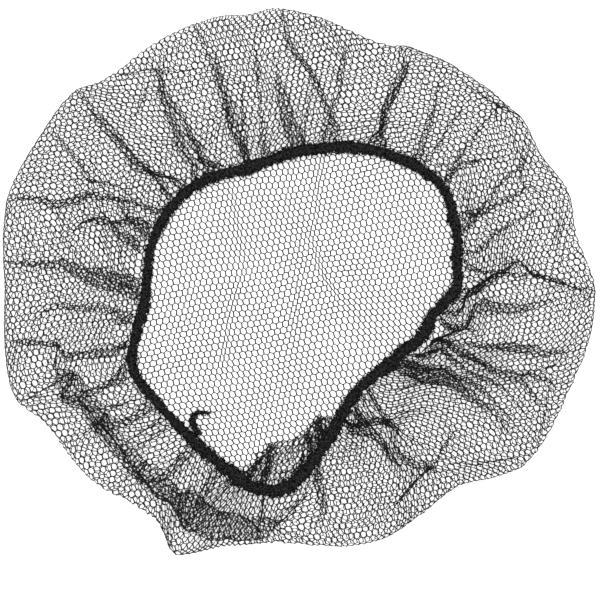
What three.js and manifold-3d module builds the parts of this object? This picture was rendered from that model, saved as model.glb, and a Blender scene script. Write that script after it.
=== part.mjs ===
// A knitted hairnet lying open side up: crown on the surface, edge folded back and gathered to its elastic.
import * as THREE from "three";
import { mergeVertices } from "three/addons/utils/BufferGeometryUtils.js";
import Module from "manifold-3d";

// Driving sizes, in millimetres. X runs to the right and Y away from the viewer, seen from above.
const netWall = 1;
const foldRadius = 1.6;
const bandWidth = 5;
const bandThickness = 3;
const bandHeight = 7.9;
const bandWave = 0.3;
const bandWaves = 7;
const pieceGap = 0.35;
const tailWidth = 2.6;
const tailTipWidth = 0.9;
const tailThickness = 1.4;
const gatherCount = 28;
const gatherLift = 0.8;
const foldSweep = 0.7 * Math.PI;
const tuckThickness = 1;
const cellPitch = 12.2;
const cellAcrossFlats = 9.4;
const cellRowBearing = 9.5;
const cellMargin = 1.2;

// Where the creases and the small gathers rise and drop, in shares of the way from the fold to the elastic.
const creaseFade = { fullBy: 0.18, dropFrom: 0.8, drop: 0.75 };
const gatherFade = { from: 0.35, fullBy: 0.85, drop: 0.4 };
const bandWaveFrom = 0.7;

// How finely the pieces are faceted.
const stationsRound = 112;
const stationsAcrossRuffle = 9;
const stationsRoundFold = 4;
const tailSides = 8;
const tailSteps = 14;
const sameVertex = 1e-4;

// The outer fold seen from above: bearing in degrees from +X, reach from the middle. A row for each corner.
const outline = [
  { bearing: 0, reach: 133.2 },
  { bearing: 5, reach: 130 },
  { bearing: 10, reach: 127 },
  { bearing: 19, reach: 128.5 },
  { bearing: 28, reach: 124 },
  { bearing: 37, reach: 125.5 },
  { bearing: 62, reach: 119 },
  { bearing: 67, reach: 118 },
  { bearing: 69, reach: 115.5 },
  { bearing: 76, reach: 115.5 },
  { bearing: 85, reach: 120.5 },
  { bearing: 95, reach: 125 },
  { bearing: 101, reach: 124 },
  { bearing: 108, reach: 126.5 },
  { bearing: 122, reach: 127 },
  { bearing: 134, reach: 128 },
  { bearing: 139, reach: 134 },
  { bearing: 150, reach: 135 },
  { bearing: 164, reach: 137.5 },
  { bearing: 180, reach: 133.5 },
  { bearing: 191, reach: 136 },
  { bearing: 202, reach: 138.5 },
  { bearing: 209, reach: 132 },
  { bearing: 221, reach: 130.5 },
  { bearing: 238, reach: 127 },
  { bearing: 245, reach: 136.5 },
  { bearing: 249, reach: 133 },
  { bearing: 256, reach: 124.5 },
  { bearing: 269, reach: 118 },
  { bearing: 286, reach: 121.5 },
  { bearing: 297, reach: 119 },
  { bearing: 308, reach: 116.5 },
  { bearing: 314, reach: 123 },
  { bearing: 321, reach: 130.5 },
  { bearing: 338, reach: 131 },
  { bearing: 350, reach: 133.5 },
];

// The middle of the elastic seen from above, in the same way, about its own centre.
const loopCentre = { x: -0.7, y: -13.7 };
const loop = [
  { bearing: 0, reach: 60.8 },
  { bearing: 10, reach: 72.5 },
  { bearing: 18, reach: 75 },
  { bearing: 30, reach: 81.5 },
  { bearing: 42, reach: 86.6 },
  { bearing: 60, reach: 82.6 },
  { bearing: 76, reach: 77.5 },
  { bearing: 92, reach: 72.5 },
  { bearing: 108, reach: 69.2 },
  { bearing: 124, reach: 73 },
  { bearing: 140, reach: 74.5 },
  { bearing: 156, reach: 72.4 },
  { bearing: 174, reach: 68.8 },
  { bearing: 186, reach: 73 },
  { bearing: 198, reach: 78 },
  { bearing: 210, reach: 75 },
  { bearing: 222, reach: 73.3 },
  { bearing: 240, reach: 75 },
  { bearing: 258, reach: 80.3 },
  { bearing: 266, reach: 78 },
  { bearing: 274, reach: 68.5 },
  { bearing: 282, reach: 58.8 },
  { bearing: 294, reach: 48.7 },
  { bearing: 306, reach: 44 },
  { bearing: 318, reach: 43.1 },
  { bearing: 330, reach: 46.3 },
  { bearing: 342, reach: 50.6 },
  { bearing: 351, reach: 57.2 },
];

// How high the middle of the ruffle's wall stands, from the outer fold (across 0) to the elastic (across 1).
const ruffleProfile = [
  { across: 0, height: 3.4 },
  { across: 0.08, height: 5.9 },
  { across: 0.2, height: 7.9 },
  { across: 0.4, height: 9.3 },
  { across: 0.65, height: 9.8 },
  { across: 0.85, height: 9 },
  { across: 1, height: bandHeight },
];

// Folds of the ruffle: straight creases from near the outline to the elastic, how much each lifts the wall,
// and its half width. A dent has a negative lift.
const creases = [
  { fromX: -97, fromY: 86, toX: -64, toY: 31, lift: 4.4, width: 6 },
  { fromX: -46, fromY: 112, toX: -22, toY: 56, lift: 3.4, width: 5.5 },
  { fromX: -22, fromY: 112, toX: -1, toY: 62, lift: 3.6, width: 5 },
  { fromX: -6, fromY: 112, toX: 16, toY: 64, lift: 3.8, width: 5.5 },
  { fromX: 49, fromY: 104, toX: 35, toY: 61, lift: 4.4, width: 7 },
  { fromX: 66, fromY: 88, toX: 52, toY: 57, lift: 3.4, width: 5.5 },
  { fromX: 102, fromY: 68, toX: 64, toY: 47, lift: 3, width: 8 },
  { fromX: 112, fromY: 40, toX: 72, toY: 24, lift: 3, width: 8 },
  { fromX: 124, fromY: 0, toX: 77, toY: 8, lift: 4.2, width: 7 },
  { fromX: 103, fromY: -62, toX: 62, toY: -22, lift: 4.6, width: 7 },
  { fromX: 96, fromY: -70, toX: 48, toY: -36, lift: 3.4, width: 6 },
  { fromX: 67, fromY: -86, toX: 24, toY: -54, lift: 4.2, width: 6 },
  { fromX: 46, fromY: -96, toX: 72, toY: -62, lift: 2.2, width: 5 },
  { fromX: 34, fromY: -106, toX: 12, toY: -74, lift: 3, width: 5.5 },
  { fromX: -18, fromY: -108, toX: -2, toY: -96, lift: 2.4, width: 5 },
  { fromX: -34, fromY: -110, toX: -104, toY: -46, lift: 3.8, width: 8 },
  { fromX: -124, fromY: -50, toX: -74, toY: -36, lift: 4, width: 6 },
  { fromX: -122, fromY: -14, toX: -76, toY: -14, lift: 3.6, width: 5.5 },
  { fromX: -120, fromY: 10, toX: -72, toY: 4, lift: 3.2, width: 5.5 },
  { fromX: -126, fromY: 32, toX: -70, toY: 20, lift: 3.8, width: 5.5 },
  { fromX: -76, fromY: 98, toX: -46, toY: 46, lift: -2.4, width: 7 },
  { fromX: 22, fromY: 110, toX: 26, toY: 66, lift: -2.4, width: 6 },
  { fromX: 88, fromY: 84, toX: 60, toY: 55, lift: -2, width: 6 },
  { fromX: 118, fromY: -28, toX: 74, toY: -8, lift: -2.4, width: 7 },
  { fromX: 84, fromY: -84, toX: 36, toY: -44, lift: -1.8, width: 5 },
  { fromX: -110, fromY: 62, toX: -66, toY: 34, lift: -1.8, width: 6 },
  { fromX: -78, fromY: -96, toX: -50, toY: -66, lift: -2.2, width: 7 },
];

// Where the ruffle is tucked in under the elastic and lies on the crown: its corners seen from above.
const tuck = [
  { x: -23.6, y: -81 },
  { x: -19.6, y: -74.3 },
  { x: -10.6, y: -67.1 },
  { x: 4.3, y: -61 },
  { x: 17.3, y: -55.8 },
  { x: 24, y: -62 },
  { x: 13, y: -86 },
  { x: -1, y: -97 },
  { x: -16, y: -98 },
  { x: -27, y: -91 },
];

// The loose end of the elastic, from the loop to its frayed tip.
const tailRoute = [
  { x: -46.3, y: -65.9, z: 7.5 },
  { x: -48.1, y: -62.4, z: 7.2 },
  { x: -47.8, y: -59.6, z: 6.9 },
  { x: -45.4, y: -57.7, z: 6.8 },
  { x: -41.4, y: -57.8, z: 6.7 },
];

const { degToRad, radToDeg, smoothstep, lerp } = THREE.MathUtils;
const wasm = await Module();
wasm.setup();

// Value of a column at a place in a table, through a smooth curve. A closed table repeats every 360 degrees.
function readTable(rows, key, column, place, closed) {
  const count = rows.length;
  const at = (i) => {
    const turns = closed ? Math.floor(i / count) : 0;
    const row = rows[closed ? i - turns * count : Math.min(Math.max(i, 0), count - 1)];
    return { place: row[key] + turns * 360, value: row[column] };
  };
  let span = 0;
  while (span < count - (closed ? 1 : 2) && at(span + 1).place <= place) span += 1;
  const [before, start, end, after] = [at(span - 1), at(span), at(span + 1), at(span + 2)];
  const slope = (a, b) => (b.place === a.place ? 0 : (b.value - a.value) / (b.place - a.place));
  const width = end.place - start.place;
  const t = (place - start.place) / width;
  const startSlope = slope(before, end) * width;
  const endSlope = slope(start, after) * width;
  const rise = end.value - start.value;
  return start.value + t * startSlope + t * t * (3 * rise - 2 * startSlope - endSlope)
    + t * t * t * (startSlope + endSlope - 2 * rise);
}

function onBearing(bearing, reach, centre = { x: 0, y: 0 }) {
  const angle = degToRad(bearing);
  return new THREE.Vector2(centre.x + reach * Math.cos(angle), centre.y + reach * Math.sin(angle));
}

const bearings = Array.from({ length: stationsRound }, (_, i) => (360 * i) / stationsRound);
const edgePoints = bearings.map((b) => onBearing(b, readTable(outline, "bearing", "reach", b, true)));
const loopPoints = bearings.map((b) => onBearing(b, readTable(loop, "bearing", "reach", b, true), loopCentre));
const loopHeights = bearings.map((b) => bandHeight + bandWave * Math.sin(degToRad(bandWaves * b)));

// The middle of the outline's box, which the whole part is moved to.
const edgeBox = new THREE.Box2().setFromPoints(edgePoints);
const middle = edgeBox.getCenter(new THREE.Vector2());

// Outward direction of a closed path at one of its points, seen from above.
function outwardAt(points, i) {
  const next = points[(i + 1) % points.length];
  const last = points[(i + points.length - 1) % points.length];
  return new THREE.Vector2(next.y - last.y, last.x - next.x).normalize();
}

const rimPoints = loopPoints.map((p, i) => {
  return p.clone().addScaledVector(outwardAt(loopPoints, i), bandWidth / 2 + pieceGap);
});

// How much the creases lift the ruffle at a point seen from above.
function creaseLift(point) {
  let lift = 0;
  for (const crease of creases) {
    const from = new THREE.Vector2(crease.fromX, crease.fromY);
    const along = new THREE.Vector2(crease.toX, crease.toY).sub(from);
    const length = along.length();
    along.normalize();
    const offset = point.clone().sub(from);
    const travelled = offset.dot(along);
    const aside = offset.cross(along);
    const overrun = Math.max(-travelled, travelled - length, 0);
    lift += crease.lift * Math.exp(-((aside * aside + overrun * overrun) / (crease.width * crease.width)));
  }
  return lift;
}

// The creases die out at the outer fold and, for the most part, at the elastic.
function creaseShare(across) {
  const kept = 1 - creaseFade.drop * smoothstep(across, creaseFade.dropFrom, 1);
  return smoothstep(across, 0, creaseFade.fullBy) * kept;
}

// Small even gathers that the elastic draws up, rising on the way to it and lower again beside it.
function gather(bearing, across) {
  const kept = 1 - gatherFade.drop * smoothstep(across, gatherFade.fullBy, 1);
  const share = smoothstep(across, gatherFade.from, gatherFade.fullBy) * kept;
  return gatherLift * share * Math.cos(degToRad(gatherCount * bearing));
}

// The axis that the wall turns round at the outer fold, seen from above.
function foldAxis(i) {
  return edgePoints[i].clone().setLength(edgePoints[i].length() - foldRadius - netWall / 2);
}

// A point of the ruffle's middle surface: station round the edge, and share of the way to the elastic.
function rufflePoint(station, across) {
  const i = (station + stationsRound) % stationsRound;
  const plan = foldAxis(i).lerp(rimPoints[i], across);
  const wave = smoothstep(across, bandWaveFrom, 1) * (loopHeights[i] - bandHeight);
  const height = readTable(ruffleProfile, "across", "height", across, false);
  const z = height + wave + creaseLift(plan) * creaseShare(across) + gather(bearings[i], across);
  return new THREE.Vector3(plan.x, plan.y, z);
}

function ruffleNormal(station, across) {
  const nearby = 0.02;
  const round = rufflePoint(station + 1, across).sub(rufflePoint(station - 1, across));
  const inward = rufflePoint(station, Math.min(across + nearby, 1))
    .sub(rufflePoint(station, Math.max(across - nearby, 0)));
  return round.cross(inward).normalize();
}

// A ring of points round the net, each worked out from its station.
const ring = (pointAt) => bearings.map((_, i) => pointAt(i));
const flatRing = (z) => ring((i) => new THREE.Vector3(foldAxis(i).x, foldAxis(i).y, z));

// A ring on the turned edge: the wall goes round the fold's axis, out and up.
function foldRing(turn, radius) {
  return ring((i) => {
    const axis = foldAxis(i);
    const plan = axis.setLength(axis.length() + radius * Math.cos(turn));
    return new THREE.Vector3(plan.x, plan.y, netWall / 2 + foldRadius + radius * Math.sin(turn));
  });
}

const ruffleRing = (across, side) => ring((i) => {
  return rufflePoint(i, across).addScaledVector(ruffleNormal(i, across), (side * netWall) / 2);
});

// A closed skin through a stack of rings of equal count, with a point at each end.
function skin(start, rings, end) {
  const position = [start.x, start.y, start.z];
  for (const points of rings) for (const p of points) position.push(p.x, p.y, p.z);
  position.push(end.x, end.y, end.z);
  const count = rings[0].length;
  const last = 1 + rings.length * count;
  const index = [];
  for (let i = 0; i < count; i += 1) {
    const next = (i + 1) % count;
    index.push(0, 1 + next, 1 + i);
    index.push(last, last - count + i, last - count + next);
    for (let r = 0; r < rings.length - 1; r += 1) {
      const low = 1 + r * count;
      const high = low + count;
      index.push(low + i, low + next, high + next, low + i, high + next, high + i);
    }
  }
  const geometry = new THREE.BufferGeometry();
  geometry.setAttribute("position", new THREE.Float32BufferAttribute(position, 3));
  geometry.setIndex(index);
  return geometry;
}

function solidOf(geometry) {
  const bare = geometry.clone();
  bare.deleteAttribute("normal");
  bare.deleteAttribute("uv");
  const merged = mergeVertices(bare, sameVertex);
  const vertProperties = new Float32Array(merged.attributes.position.array);
  const triVerts = new Uint32Array(merged.index.array);
  return new wasm.Manifold(new wasm.Mesh({ numProp: 3, vertProperties, triVerts }));
}

function geometryOf(solid) {
  const mesh = solid.getMesh();
  const geometry = new THREE.BufferGeometry();
  geometry.setAttribute("position", new THREE.BufferAttribute(mesh.vertProperties, 3));
  geometry.setIndex(new THREE.BufferAttribute(mesh.triVerts, 1));
  return geometry;
}

// Hexagonal cells cut through the crown inside the loop: a coarse stand-in for the fine knitted honeycomb.
function cellCutters() {
  const cornerReach = cellAcrossFlats / Math.sqrt(3);
  const rowTurn = degToRad(cellRowBearing);
  const rows = Math.ceil(Math.max(...outline.map((row) => row.reach)) / cellPitch);
  const cutters = [];
  for (let row = -rows; row <= rows; row += 1) {
    for (let column = -rows; column <= rows; column += 1) {
      const centre = new THREE.Vector2((column + row / 2) * cellPitch, (row * cellPitch * Math.sqrt(3)) / 2);
      centre.rotateAround(new THREE.Vector2(), rowTurn);
      const fromLoop = centre.clone().sub(new THREE.Vector2(loopCentre.x, loopCentre.y));
      const reach = readTable(loop, "bearing", "reach", radToDeg(fromLoop.angle()), true);
      if (fromLoop.length() > reach - bandWidth / 2 - cornerReach - cellMargin) continue;
      const corners = Array.from({ length: 6 }, (_, corner) => {
        const turn = rowTurn + ((corner + 0.5) * Math.PI) / 3;
        return new THREE.Vector2(cornerReach, 0).rotateAround(new THREE.Vector2(), turn).add(centre);
      });
      const depth = 3 * netWall + tuckThickness;
      const cutter = new THREE.ExtrudeGeometry(new THREE.Shape(corners), { depth, bevelEnabled: false });
      cutters.push(cutter.translate(0, 0, -netWall));
    }
  }
  return cutters;
}

function netGeometry() {
  const shares = (count) => Array.from({ length: count }, (_, k) => (k + 1) / count);
  const foldTurns = shares(stationsRoundFold).map((share) => foldSweep * share - Math.PI / 2);
  const acrosses = shares(stationsAcrossRuffle);
  const rings = [
    flatRing(0),
    ...foldTurns.map((turn) => foldRing(turn, foldRadius + netWall / 2)),
    ...acrosses.map((across) => ruffleRing(across, 1)),
    ...acrosses.toReversed().map((across) => ruffleRing(across, -1)),
    ...foldTurns.toReversed().map((turn) => foldRing(turn, foldRadius - netWall / 2)),
    flatRing(netWall),
  ];
  let net = solidOf(skin(new THREE.Vector3(0, 0, 0), rings, new THREE.Vector3(0, 0, netWall)));
  const tucked = new THREE.Shape(tuck.map((corner) => new THREE.Vector2(corner.x, corner.y)));
  const layer = new THREE.ExtrudeGeometry(tucked, { depth: netWall / 2 + tuckThickness, bevelEnabled: false });
  net = net.add(solidOf(layer.translate(0, 0, netWall / 2)));
  for (const cutter of cellCutters()) net = net.subtract(solidOf(cutter));
  return geometryOf(net);
}

// A closed ring of a rounded section, swept round a path of points seen from above.
function bandGeometry() {
  const section = [
    { out: 0.5, up: 0.26 },
    { out: 0.3, up: 0.5 },
    { out: -0.3, up: 0.5 },
    { out: -0.5, up: 0.26 },
    { out: -0.5, up: -0.26 },
    { out: -0.3, up: -0.5 },
    { out: 0.3, up: -0.5 },
    { out: 0.5, up: -0.26 },
  ];
  const position = [];
  const index = [];
  const count = section.length;
  bearings.forEach((_, i) => {
    const outward = outwardAt(loopPoints, i);
    const next = (i + 1) % stationsRound;
    section.forEach((corner, k) => {
      const plan = loopPoints[i].clone().addScaledVector(outward, corner.out * bandWidth);
      position.push(plan.x, plan.y, loopHeights[i] + corner.up * bandThickness);
      const beside = (k + 1) % count;
      const [a, b] = [i * count + k, next * count + k];
      const [c, d] = [next * count + beside, i * count + beside];
      index.push(a, b, c, a, c, d);
    });
  });
  const geometry = new THREE.BufferGeometry();
  geometry.setAttribute("position", new THREE.Float32BufferAttribute(position, 3));
  geometry.setIndex(index);
  return geometry;
}

// The tail is a tapering flat strip along its route.
function tailGeometry() {
  const curve = new THREE.CatmullRomCurve3(tailRoute.map((p) => new THREE.Vector3(p.x, p.y, p.z)));
  const rings = [];
  for (let step = 0; step <= tailSteps; step += 1) {
    const share = step / tailSteps;
    const centre = curve.getPointAt(share);
    const heading = curve.getTangentAt(share);
    const aside = new THREE.Vector3(0, 0, 1).cross(heading).normalize();
    const up = heading.clone().cross(aside);
    const width = lerp(tailWidth, tailTipWidth, share);
    const thickness = lerp(tailThickness, tailTipWidth, share);
    rings.push(Array.from({ length: tailSides }, (_, k) => {
      const turn = (2 * Math.PI * k) / tailSides;
      return centre.clone().addScaledVector(aside, (width / 2) * Math.cos(turn))
        .addScaledVector(up, (thickness / 2) * Math.sin(turn));
    }));
  }
  return skin(curve.getPointAt(0), rings, curve.getPointAt(1));
}

function piece(name, geometry, colour, roughness) {
  const material = new THREE.MeshStandardMaterial({ color: colour, roughness, metalness: 0 });
  const mesh = new THREE.Mesh(geometry, material);
  mesh.name = name;
  mesh.position.set(-middle.x, -middle.y, 0);
  return mesh;
}

const hairnet = new THREE.Group();
hairnet.add(piece("net", netGeometry(), 0x232326, 0.75));
hairnet.add(piece("elastic_band", bandGeometry(), 0x0d0c0f, 0.9));
hairnet.add(piece("band_tail", tailGeometry(), 0x0d0c0f, 0.9));

export default hairnet;
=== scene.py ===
"""A knitted hairnet, lying open side up with its edge folded back and gathered to its elastic."""

import math

import bmesh
import bpy
import numpy as np
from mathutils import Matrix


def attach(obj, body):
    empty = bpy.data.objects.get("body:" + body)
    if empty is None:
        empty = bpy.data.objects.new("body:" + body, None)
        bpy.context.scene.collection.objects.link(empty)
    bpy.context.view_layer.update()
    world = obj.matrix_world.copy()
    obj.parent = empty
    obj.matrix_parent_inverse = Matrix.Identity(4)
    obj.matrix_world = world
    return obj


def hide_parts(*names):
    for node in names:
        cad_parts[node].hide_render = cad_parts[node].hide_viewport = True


bl_info = {
    "name": "Knitted Hairnet",
    "version": (1, 0, 0),
    "blender": (4, 5, 0),
    "location": "View3D > Sidebar > Hairnet",
    "description": "Builds the threads, the gathered elastic and the loose end of a knitted hairnet",
    "category": "Object",
}

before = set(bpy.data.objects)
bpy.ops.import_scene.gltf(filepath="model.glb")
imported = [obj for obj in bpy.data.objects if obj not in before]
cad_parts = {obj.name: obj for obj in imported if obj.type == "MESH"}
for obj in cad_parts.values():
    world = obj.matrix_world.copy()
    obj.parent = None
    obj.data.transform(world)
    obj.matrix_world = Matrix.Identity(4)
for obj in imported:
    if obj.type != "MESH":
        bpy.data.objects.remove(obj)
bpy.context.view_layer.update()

BODY = "root"
MM = 0.001
TAU = 2 * math.pi

# Sizes that the solids are made to, in millimetres. Seen from above, X runs to the right and Y away from the
# viewer.
FOLD_RADIUS = 1.6
NET_WALL = 1.0
BAND_WIDTH = 5.0
BAND_THICKNESS = 3.0
BAND_HEIGHT = 7.9
BAND_WAVE = 0.3
BAND_WAVES = 7
PIECE_GAP = 0.35
STATIONS_ROUND = 112

# How the net is laid, in millimetres: the height of the crown's knots and how much it varies, and how far the
# net goes on under the elastic.
CROWN_HEIGHT = 0.35
CROWN_UNEVENNESS = 0.3
RUFFLE_UNEVENNESS = 0.5
CUT_BEYOND = 2.6

# Where the net is tucked in under the elastic: its height there, how far it dips inside, and how far it rises to
# the edge that turns back.
TUCK_HEIGHT = 3.6
TUCK_DIP = 1.9
TUCK_RISE = 4.6

# How the net strays sideways in the crown, the ruffle and the tucked pouch: how far, over features of what size,
# and the random seed.
CROWN_SWAY = [(0.9, 60, 3), (0.28, 17, 13)]
RUFFLE_SWAY = [(1.0, 34, 21), (0.5, 13, 26)]
POUCH_SWAY = [(2.0, 11, 41)]

# A fold's pull fades over this many half widths and millimetres. Its net rises by at most the lift, and the
# waves of folds and pleats are this many half widths wide.
FOLD_FADE = (1.8, 3)
FOLD_LIFT = 0.9
FOLD_RIPPLE = 1.4
PLEAT_RIPPLE = 1.6

# How the laid net settles: rounds, how far a stretched and a squeezed thread give way in each, and how strongly
# each knot keeps its place.
SETTLE_STEPS = 24
STRETCHED_GIVE = 0.9
SQUEEZED_GIVE = 0.25
STAY = 0.015

# Thickness of the threads where the net is single, and where it is gathered, against the sizes set below.
CROWN_THREAD = 1.08
RUFFLE_THREAD = 0.82

# The twisted thread: filaments round it, their height in millimetres, how dark its darkest flecks are against
# its colour, and how uneven its gloss is. Its pale flecks are uneven dyeing on the net and painted highlights on
# the elastic.
FILAMENTS = 3
RIDGE_HEIGHT = 0.04
DARKEST_DYE = 0.4
ROUGHNESS_SPREAD = 0.12

# The elastic, in millimetres: its core, the stitches round it, the loops and fibres that stand out, and the
# share of them on its outer side.
CORE_STATIONS = 620
CORE_SIDES = 16
CORE_HEIGHT = 2.5
RIB_SPACING = 1.9
WRAP_HEIGHT = 2.84
OUTER_SHARE = 0.42
STRAND_SIDES = 4
WRAP_SLANTS = (0.6, 1.5)
LOOP_HEIGHTS = (0.4, 1.5)
LOOP_WIDTHS = (0.25, 0.8)
LOOP_RADII = (0.1, 0.2)
HAIR_LENGTHS = (0.4, 1.7)
HAIR_RADII = (0.07, 0.06, 0.04)

# The loose end: its width and height at both ends, stitches, stray loops and fibres, and how far the stitches
# run on past the core, by its length.
TAIL_WIDTHS = (2.6, 1.1)
TAIL_HEIGHTS = (1.5, 0.9)
TAIL_WRAPS = 40
TAIL_LOOPS = 60
FRAYED_HAIRS = 30
FRAYED_LENGTHS = (0.8, 2.8)
FRAYED_RADII = (0.14, 0.13, 0.12, 0.1, 0.07)
TAIL_OVERLAP = 0.16

# The stage: half the floor's side and the softbox in metres, and the middle of the view in millimetres.
FLOOR_HALF = 3.0
SOFTBOX_SIZE = 1.8
SOFTBOX_PLACE = (0.2, 0.2, 2.6)
VIEW_CENTRE = (0.2, -7.2)

# The outer fold seen from above: bearing in degrees from +X, reach from the middle.
OUTLINE = [
    (0, 133.2), (5, 130), (10, 127), (19, 128.5), (28, 124), (37, 125.5), (62, 119), (67, 118), (69, 115.5),
    (76, 115.5), (85, 120.5), (95, 125), (101, 124), (108, 126.5), (122, 127), (134, 128), (139, 134),
    (150, 135),
    (164, 137.5), (180, 133.5), (191, 136), (202, 138.5), (209, 132), (221, 130.5), (238, 127),
    (245, 136.5),
    (249, 133), (256, 124.5), (269, 118), (286, 121.5), (297, 119), (308, 116.5), (314, 123), (321, 130.5),
    (338, 131), (350, 133.5),
]

# The middle of the elastic seen from above, in the same way, about its own centre.
LOOP_CENTRE = (-0.7, -13.7)
LOOP = [
    (0, 60.8), (10, 72.5), (18, 75), (30, 81.5), (42, 86.6), (60, 82.6), (76, 77.5), (92, 72.5),
    (108, 69.2),
    (124, 73), (140, 74.5), (156, 72.4), (174, 68.8), (186, 73), (198, 78), (210, 75), (222, 73.3),
    (240, 75),
    (258, 80.3), (266, 78), (274, 68.5), (282, 58.8), (294, 48.7), (306, 44), (318, 43.1), (330, 46.3),
    (342, 50.6), (351, 57.2),
]

# The sheets that the net's threads are kept in: the shares of the way from the fold to the elastic, and the
# bearings, between which each lies.
NET_PIECES = [
    ("net_crown_left", -9.0, 0.0, 90, 270),
    ("net_crown_right", -9.0, 0.0, -90, 90),
    ("net_ruffle_right", 0.0, 1.0, -45, 45),
    ("net_ruffle_back", 0.0, 1.0, 45, 135),
    ("net_ruffle_left", 0.0, 1.0, 135, 225),
    ("net_ruffle_front", 0.0, 1.0, 225, 315),
]

# How high the ruffle stands, from the outer fold (across 0) to the elastic (across 1).
RUFFLE_PROFILE = [(0, 3.4), (0.08, 5.9), (0.2, 7.9), (0.4, 9.3), (0.65, 9.8), (0.85, 9), (1, BAND_HEIGHT)]

# Broad waves of the ruffle, as its solid has them: from x, y near the outline, to x, y at the elastic, lift and
# half width.
CREASES = [
    (-97, 86, -64, 31, 4.4, 6), (-46, 112, -22, 56, 3.4, 5.5), (-22, 112, -1, 62, 3.6, 5),
    (-6, 112, 16, 64, 3.8, 5.5), (49, 104, 35, 61, 4.4, 7), (66, 88, 52, 57, 3.4, 5.5),
    (102, 68, 64, 47, 3, 8),
    (112, 40, 72, 24, 3, 8), (124, 0, 77, 8, 4.2, 7), (103, -62, 62, -22, 4.6, 7),
    (96, -70, 48, -36, 3.4, 6),
    (67, -86, 24, -54, 4.2, 6), (46, -96, 72, -62, 2.2, 5), (34, -106, 12, -74, 3, 5.5),
    (-18, -108, -2, -96, 2.4, 5), (-34, -110, -104, -46, 3.8, 8), (-124, -50, -74, -36, 4, 6),
    (-122, -14, -76, -14, 3.6, 5.5), (-120, 10, -72, 4, 3.2, 5.5), (-126, 32, -70, 20, 3.8, 5.5),
    (-76, 98, -46, 46, -2.4, 7), (22, 110, 26, 66, -2.4, 6), (88, 84, 60, 55, -2, 6),
    (118, -28, 74, -8, -2.4, 7),
    (84, -84, 36, -44, -1.8, 5), (-110, 62, -66, 34, -1.8, 6), (-78, -96, -50, -66, -2.2, 7),
]

# Pleats from the outline to the elastic: how much net each takes up against the others, and its corners from
# outside in, seen from above.
PLEATS = [
    (1.1, [(-98, 86), (-89, 73), (-72, 51), (-53, 45)]),
    (0.8, [(-82, 68), (-76, 59), (-69, 53)]),
    (1, [(-128, 36), (-108, 35), (-90, 38), (-63, 32)]),
    (0.9, [(-54, 68), (-47, 64), (-42, 59), (-36, 52)]),
    (1, [(-37, 101), (-34, 84), (-27, 66), (-24, 57)]),
    (0.9, [(-24, 90), (-25, 81), (-26, 72), (-25, 62)]),
    (1.2, [(-11, 97), (-9, 88), (-4, 71), (-1, 63)]),
    (1, [(-8, 117), (-3, 103), (10, 83), (16, 68)]),
    (1.5, [(47, 107), (41, 90), (37, 73), (36, 62)]),
    (1, [(64, 95), (62, 84), (57, 67), (53, 58)]),
    (0.6, [(90, 53), (82, 55), (70, 51), (65, 46)]),
    (0.8, [(98, 40), (92, 37), (80, 31), (72, 30)]),
    (0.9, [(100, 10), (92, 9), (82, 9), (73, 9)]),
    (0.9, [(97, 10), (90, 5), (83, 0), (73, -3)]),
    (0.9, [(79, -25), (70, -21), (63, -15)]),
    (1, [(95, -40), (87, -38), (68, -30), (60, -24)]),
    (1.6, [(98, -78), (88, -59), (63, -42), (42, -36)]),
    (1.5, [(101, -70), (88, -52), (64, -38), (44, -33)]),
    (1.4, [(103, -62), (88, -46), (66, -34), (48, -30)]),
    (1.2, [(106, -54), (89, -40), (70, -29), (53, -27)]),
    (1.1, [(128, -4), (112, 3), (97, 9), (86, 1), (73, -6)]),
    (1, [(122, -10), (108, -2), (95, 3), (83, -5), (72, -11)]),
    (0.5, [(59, -82), (52, -76), (39, -59), (35, -51)]),
    (1, [(40, -76), (32, -70), (24, -66), (19, -65)]),
    (1, [(46, -72), (38, -66), (31, -61), (26, -59)]),
    (1, [(-109, 16), (-96, 26), (-78, 29), (-69, 27)]),
    (0.9, [(-124, 8), (-103, 9), (-90, -1), (-73, -6)]),
    (1.2, [(-92, 7), (-83, 3), (-73, 0)]),
    (1, [(-118, -18), (-106, -11), (-87, -12), (-76, -15)]),
    (1, [(-122, -25), (-102, -29), (-84, -30), (-76, -27)]),
    (0.7, [(-76, -67), (-68, -63), (-60, -59)]),
]

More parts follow.
